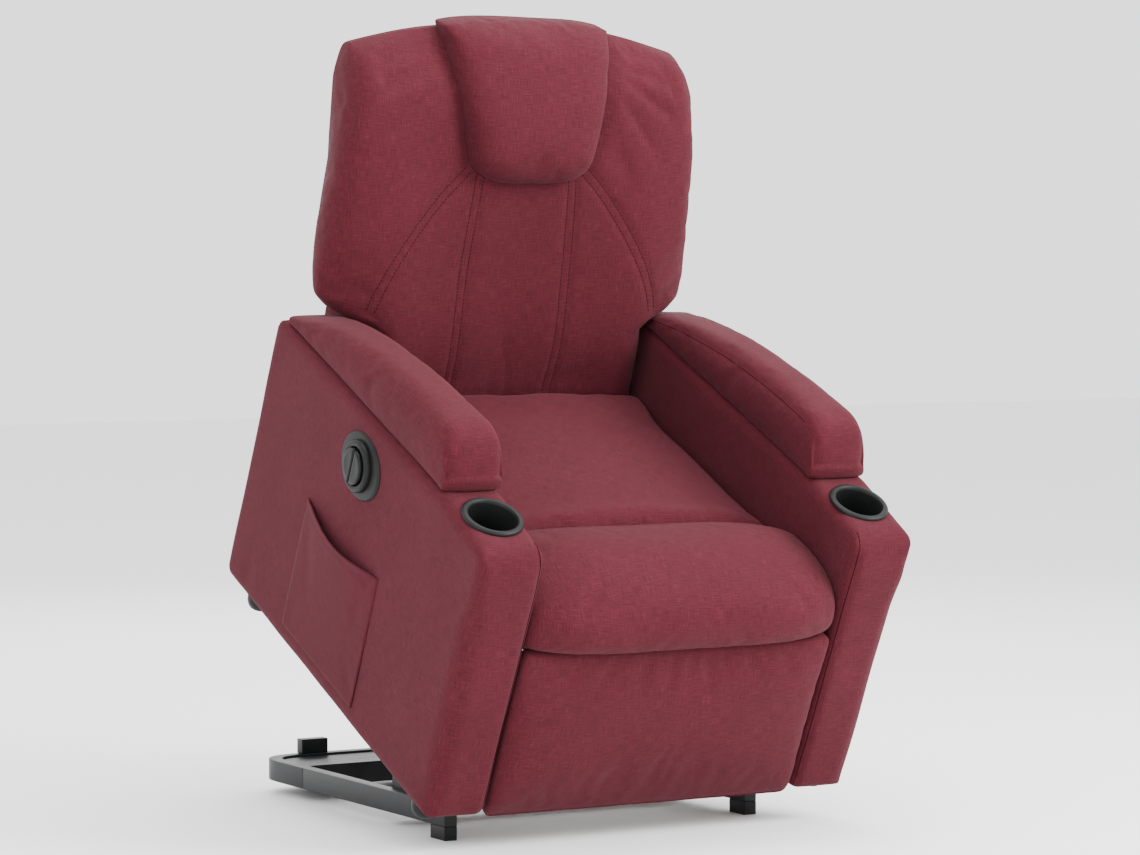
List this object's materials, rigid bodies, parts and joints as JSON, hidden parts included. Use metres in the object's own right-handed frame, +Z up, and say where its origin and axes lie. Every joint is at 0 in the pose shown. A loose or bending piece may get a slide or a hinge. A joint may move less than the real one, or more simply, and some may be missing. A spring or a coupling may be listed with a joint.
{
  "type": "lift recliner chair",
  "caption": "Upholstered power lift recliner on a folding lift base, raised and tipped forward, with cup holders, side pocket and arm control.",
  "frame": {"origin": "centre of the footprint box of the raised chair, at floor level", "axes": "+Z up, the chair faces -Y, its right arm with the control is at -X"},
  "size_m": [0.797, 0.9754, 1.286],
  "materials": {
    "upholstery": "wine red linen-look weave",
    "steel": "dark grey semi-gloss powder coat",
    "plastic": "black, fine texture",
    "timber": "raw plywood",
    "rod": "bright chrome",
    "webbing": "black woven elastic webbing"
  },
  "bodies": {
    "base": {"base_rail_right": "steel", "base_rail_left": "steel", "base_rear_bow": "steel", "base_rear_tray": "steel", "base_cross_tube": "steel", "pivot_plate_right": "steel", "pivot_plate_left": "steel", "stop_block_right": "steel", "stop_block_left": "steel", "front_foot_right": "plastic", "front_foot_left": "plastic", "rear_foot_right": "plastic", "rear_foot_left": "plastic"},
    "front_link": {"front_link_right": "steel", "front_link_left": "steel", "front_link_tube": "steel"},
    "rear_link": {"rear_link_right": "steel", "rear_link_left": "steel", "rear_link_tube": "steel"},
    "actuator": {"actuator_tube": "steel", "actuator_motor": "plastic"},
    "rod": {"actuator_rod": "rod"},
    "chair": {"lift_plate_right": "steel", "lift_plate_left": "steel", "back_hinge_right": "steel", "back_hinge_left": "steel", "cross_tube": "steel", "actuator_lug": "steel", "seat_rail_front": "timber", "seat_rail_rear": "timber", "seat_suspension": "webbing", "control_box": "plastic", "arm_cover_right": "upholstery", "arm_cover_left": "upholstery", "arm_frame_right": "timber", "arm_frame_left": "timber", "arm_pad_right": "upholstery", "arm_pad_left": "upholstery", "cup_holder_right": "plastic", "cup_holder_left": "plastic", "glide_front_right": "plastic", "glide_front_left": "plastic", "glide_rear_right": "plastic", "glide_rear_left": "plastic", "side_pocket": "upholstery", "control_plate": "plastic", "control_housing": "plastic", "seat_cushion": "upholstery", "seat_front_roll": "upholstery"},
    "raise_button": {"button_raise": "plastic"},
    "recline_button": {"button_recline": "plastic"},
    "footrest": {"footrest_cushion": "upholstery", "footrest_board": "timber"},
    "footrest_links": {"footrest_link_right": "steel", "footrest_link_left": "steel"},
    "back": {"back_board": "timber", "back_cushion": "upholstery", "head_pillow": "upholstery", "back_rear_panel": "upholstery"}
  },
  "joints": [
    {"name": "lift_swing", "type": "hinge", "parent": "base", "child": "front_link", "pos_m": [0.0135, -0.10548, 0.06], "axis": [-1, 0, 0], "range_deg": [0, 65.12]},
    {"name": "chair_tilt", "type": "hinge", "parent": "front_link", "child": "chair", "pos_m": [0.0135, -0.1013, 0.21641], "axis": [-1, 0, 0], "range_deg": [-39.9, 0]},
    {"name": "rear_link_swing", "type": "hinge", "parent": "base", "child": "rear_link", "pos_m": [0.0135, 0.00268, 0.066], "axis": [-1, 0, 0], "range_deg": [0, 48.7]},
    {"name": "actuator_swing", "type": "hinge", "parent": "base", "child": "actuator", "pos_m": [0.0135, 0.40768, 0.08], "axis": [1, 0, 0], "range_deg": [0, 11.3]},
    {"name": "rod_slide", "type": "slide", "parent": "actuator", "child": "rod", "axis": [0, 0.9468, -0.3219], "range_m": [0, 0.168]},
    {"name": "back_recline", "type": "hinge", "parent": "chair", "child": "back", "pos_m": [0.0135, 0.22969, 0.6047], "axis": [-1, 0, 0], "range_deg": [0, 38]},
    {"name": "footrest_swing", "type": "hinge", "parent": "chair", "child": "footrest", "pos_m": [0.0135, -0.41817, 0.30689], "axis": [-1, 0, 0], "range_deg": [0, 80]},
    {"name": "footrest_link_swing", "type": "hinge", "parent": "footrest", "child": "footrest_links", "pos_m": [0.0135, -0.31581, 0.22581], "axis": [-1, 0, 0], "range_deg": [-71, 0]},
    {"name": "raise_press", "type": "slide", "parent": "chair", "child": "raise_button", "axis": [1, 0, 0], "range_m": [0, 0.003], "stiffness_N_per_m": 500, "springref_m": -0.002},
    {"name": "recline_press", "type": "slide", "parent": "chair", "child": "recline_button", "axis": [1, 0, 0], "range_m": [0, 0.003], "stiffness_N_per_m": 500, "springref_m": -0.002}
  ],
  "couplings": [
    {"joint": "chair_tilt", "follows": "lift_swing", "ratio": -0.61229},
    {"joint": "rear_link_swing", "follows": "lift_swing", "ratio": 0.74676},
    {"joint": "actuator_swing", "follows": "lift_swing", "ratio": 0.17336},
    {"joint": "rod_slide", "follows": "lift_swing", "m_per_rad": 0.14745},
    {"joint": "footrest_link_swing", "follows": "footrest_swing", "ratio": -0.886}
  ]
}
